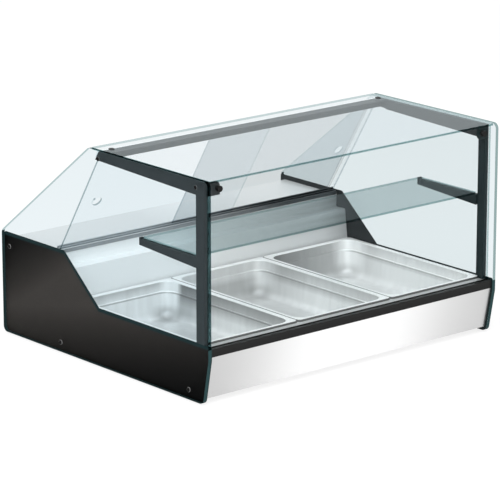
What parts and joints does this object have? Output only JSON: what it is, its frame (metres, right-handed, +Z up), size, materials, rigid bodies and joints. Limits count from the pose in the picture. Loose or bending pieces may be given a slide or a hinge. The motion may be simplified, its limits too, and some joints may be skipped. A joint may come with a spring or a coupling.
{
  "type": "heated display case",
  "caption": "Counter-top heated display case: glass box with a glass shelf over a row of full-size food pans, sloping sliding rear doors and a stainless base with controls at the back.",
  "frame": {"origin": "on the counter, under the middle of the case's outline", "axes": "+X to the customer's right, +Y from the customer's side to the operator's side, +Z up"},
  "size_m": [1.005, 0.872, 0.584],
  "materials": {
    "stainless_sheet": "brushed stainless sheet",
    "stainless_panel": "fine brushed stainless sheet, brushed along its length",
    "pan_steel": "drawn stainless steel, bright satin",
    "black_plate": "satin black paint",
    "black_bar": "satin black powder coat",
    "track_aluminium": "black anodised aluminium",
    "clamp_steel": "polished steel",
    "clear_glass": "clear toughened glass with polished edges",
    "foot_rubber": "black rubber",
    "insulation": "mineral fibre board",
    "heating_mat": "silicone heating mat",
    "control_plastic": "black moulded plastic",
    "terminal_plastic": "natural moulded plastic",
    "lamp_lens": "amber lens"
  },
  "bodies": {
    "case": {"base_tray": "stainless_sheet", "feet": "foot_rubber", "left_end_plate": "black_plate", "right_end_plate": "black_plate", "front_panel": "stainless_panel", "front_rail": "black_bar", "pan_deck": "stainless_sheet", "well_tank": "stainless_sheet", "well_insulation": "insulation", "left_heating_mat": "heating_mat", "middle_heating_mat": "heating_mat", "right_heating_mat": "heating_mat", "sensor_probe": "stainless_sheet", "safety_cutout": "control_plastic", "back_wall": "stainless_sheet", "rear_deck": "stainless_sheet", "rear_panel": "stainless_sheet", "control_plate": "black_plate", "thermostat_body": "control_plastic", "switch_housing": "control_plastic", "pilot_lamp": "lamp_lens", "cable_gland": "control_plastic", "terminal_block": "terminal_plastic", "left_side_glass": "clear_glass", "right_side_glass": "clear_glass", "top_glass": "clear_glass", "front_glass": "clear_glass", "shelf_glass": "clear_glass", "left_post": "black_bar", "right_post": "black_bar", "left_top_arm": "black_bar", "right_top_arm": "black_bar", "left_shelf_arm": "black_bar", "right_shelf_arm": "black_bar", "rear_top_rail": "black_bar", "left_glass_bracket": "black_bar", "right_glass_bracket": "black_bar", "glass_clamp_knobs": "clamp_steel", "lower_door_track": "track_aluminium", "upper_door_track": "track_aluminium"},
    "left_door": {"left_door": "clear_glass"},
    "right_door": {"right_door": "clear_glass"},
    "left_pan": {"left_pan": "pan_steel"},
    "middle_pan": {"middle_pan": "pan_steel"},
    "right_pan": {"right_pan": "pan_steel"},
    "thermostat_knob": {"thermostat_knob": "control_plastic"},
    "switch_rocker": {"switch_rocker": "control_plastic"}
  },
  "joints": [
    {"name": "left_door_slide", "type": "slide", "parent": "case", "child": "left_door", "axis": [1, 0, 0], "range_m": [0, 0.384]},
    {"name": "right_door_slide", "type": "slide", "parent": "case", "child": "right_door", "axis": [-1, 0, 0], "range_m": [0, 0.384]},
    {"name": "left_pan_lift", "type": "slide", "parent": "case", "child": "left_pan", "axis": [0, 0, 1], "range_m": [0, 0.15]},
    {"name": "middle_pan_lift", "type": "slide", "parent": "case", "child": "middle_pan", "axis": [0, 0, 1], "range_m": [0, 0.15]},
    {"name": "right_pan_lift", "type": "slide", "parent": "case", "child": "right_pan", "axis": [0, 0, 1], "range_m": [0, 0.15]},
    {"name": "thermostat_turn", "type": "hinge", "parent": "case", "child": "thermostat_knob", "pos_m": [-0.392, 0.4168, 0.172], "axis": [0, -1, 0], "range_deg": [0, 270]},
    {"name": "switch_rock", "type": "hinge", "parent": "case", "child": "switch_rocker", "pos_m": [-0.298, 0.413, 0.172], "axis": [1, 0, 0], "range_deg": [-9, 9]}
  ]
}
